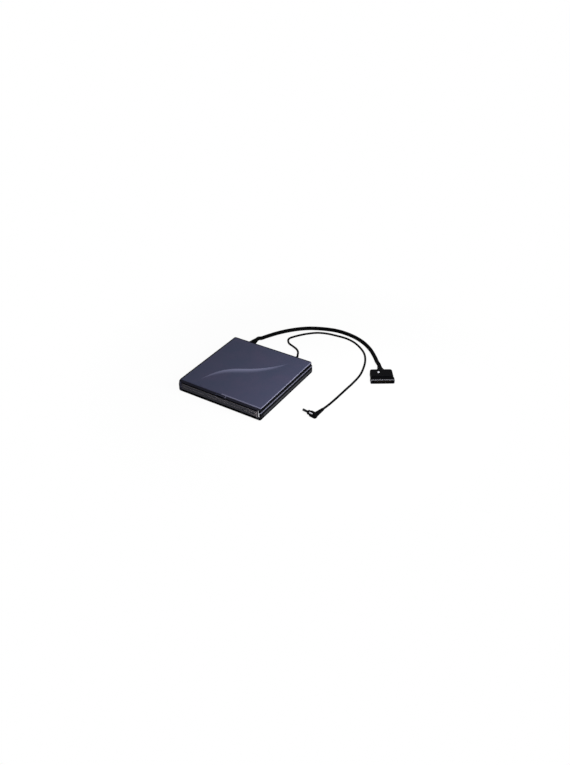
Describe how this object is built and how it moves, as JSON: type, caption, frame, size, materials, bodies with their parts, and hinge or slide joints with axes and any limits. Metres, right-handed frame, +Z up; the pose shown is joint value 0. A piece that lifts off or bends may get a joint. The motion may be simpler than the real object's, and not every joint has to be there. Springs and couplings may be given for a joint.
{
  "type": "external disc drive",
  "caption": "Flat external disc drive with a sliding tray, an eject button, a fixed interface cable with a wide plug and a fixed power cable with a right-angle barrel plug.",
  "frame": {"origin": "Centre of the case's footprint, on the table under the rubber feet.", "axes": "X to the right seen from the front, Y to the back where the cables leave, Z up; the tray comes out towards -Y."},
  "size_m": [0.2543, 0.2651, 0.0199],
  "materials": {
    "cover_plastic": "fine matt grain, dark blue grey",
    "case_plastic": "fine matt grain, charcoal",
    "front_plastic": "matt, charcoal",
    "tray_plastic": "matt, black",
    "black_plastic": "satin, black",
    "pale_plastic": "natural",
    "soft_black": "soft satin, black",
    "blue_rubber": "soft, blue",
    "sheet_steel": "zinc plated sheet",
    "bright_steel": "bright nickel",
    "board_green": "solder mask, green",
    "copper": "enamelled copper",
    "gold": "gold flash",
    "film": "polyester film",
    "wire_cover": "wire insulation",
    "lamp_green": "clear green, unlit",
    "lens_glass": "coated lens"
  },
  "bodies": {
    "case": {"bottom_case": "case_plastic", "top_cover": "cover_plastic", "rubber_feet": "soft_black", "case_screws": "bright_steel", "drive_screws": "bright_steel", "drive_pan": "sheet_steel", "drive_lid": "sheet_steel", "lid_screws": "bright_steel", "left_guide": "pale_plastic", "right_guide": "pale_plastic", "latch_post": "bright_steel", "eject_spring": "bright_steel", "ribbon_cable": "film", "drive_connector": "black_plastic", "board_connector": "pale_plastic", "interface_board": "board_green", "board_parts": "black_plastic", "cable_leads": "wire_cover", "interface_boot": "soft_black", "power_boot_case": "soft_black", "interface_cable": "soft_black", "power_cable": "soft_black", "plug_hood_top": "black_plastic", "plug_hood_bottom": "black_plastic", "plug_screws": "bright_steel", "plug_flange": "black_plastic", "plug_tongue": "black_plastic", "plug_contacts": "gold", "plug_boot": "soft_black", "power_plug_body": "black_plastic", "power_plug_boot": "soft_black", "power_plug_barrel": "bright_steel", "power_plug_sleeve": "black_plastic"},
    "rails": {"left_rail": "sheet_steel", "right_rail": "sheet_steel"},
    "tray": {"tray": "tray_plastic", "tray_bezel": "front_plastic", "lamp_window": "lamp_green", "traverse_plate": "sheet_steel", "dampers": "blue_rubber", "tray_screws": "bright_steel", "spindle_base": "sheet_steel", "spindle_coils": "copper", "guide_rods": "bright_steel", "rod_holders": "pale_plastic", "feed_motor": "sheet_steel", "tray_board": "board_green", "tray_chips": "black_plastic", "eject_switch": "black_plastic", "latch_solenoid": "copper", "latch_pivot": "bright_steel"},
    "eject_button": {"eject_button": "front_plastic"},
    "spindle": {"spindle_rotor": "sheet_steel", "turntable": "tray_plastic", "grip_ring": "soft_black", "clamp_balls": "bright_steel"},
    "sled": {"sled": "tray_plastic", "objective_lens": "lens_glass"},
    "lead_screw": {"lead_screw": "bright_steel"},
    "latch": {"latch_lever": "pale_plastic"}
  },
  "joints": [
    {"name": "tray_slide", "type": "slide", "parent": "case", "child": "tray", "axis": [0, -1, 0], "range_m": [0, 0.126], "deforming": ["ribbon_cable", "eject_spring"]},
    {"name": "rail_slide", "type": "slide", "parent": "case", "child": "rails", "axis": [0, -1, 0], "range_m": [0, 0.063]},
    {"name": "eject_press", "type": "slide", "parent": "tray", "child": "eject_button", "axis": [0, 1, 0], "range_m": [0, 0.0005], "stiffness_N_per_m": 600},
    {"name": "spindle_spin", "type": "hinge", "parent": "tray", "child": "spindle", "pos_m": [0, -0.00565, 0.0118], "axis": [0, 0, 1], "continuous": true},
    {"name": "sled_slide", "type": "slide", "parent": "tray", "child": "sled", "axis": [-0.7071, -0.7071, 0], "range_m": [0, 0.033]},
    {"name": "screw_spin", "type": "hinge", "parent": "tray", "child": "lead_screw", "pos_m": [0.01329, -0.01894, 0.0078], "axis": [-0.7071, -0.7071, 0], "range_deg": [0, 3961]},
    {"name": "latch_swing", "type": "hinge", "parent": "tray", "child": "latch", "pos_m": [0.05, -0.05, 0.006], "axis": [0, 0, -1], "range_deg": [0, 18]}
  ],
  "couplings": [
    {"joint": "rail_slide", "follows": "tray_slide", "ratio": 0.5},
    {"joint": "screw_spin", "follows": "sled_slide", "rad_per_m": 2094.4}
  ]
}
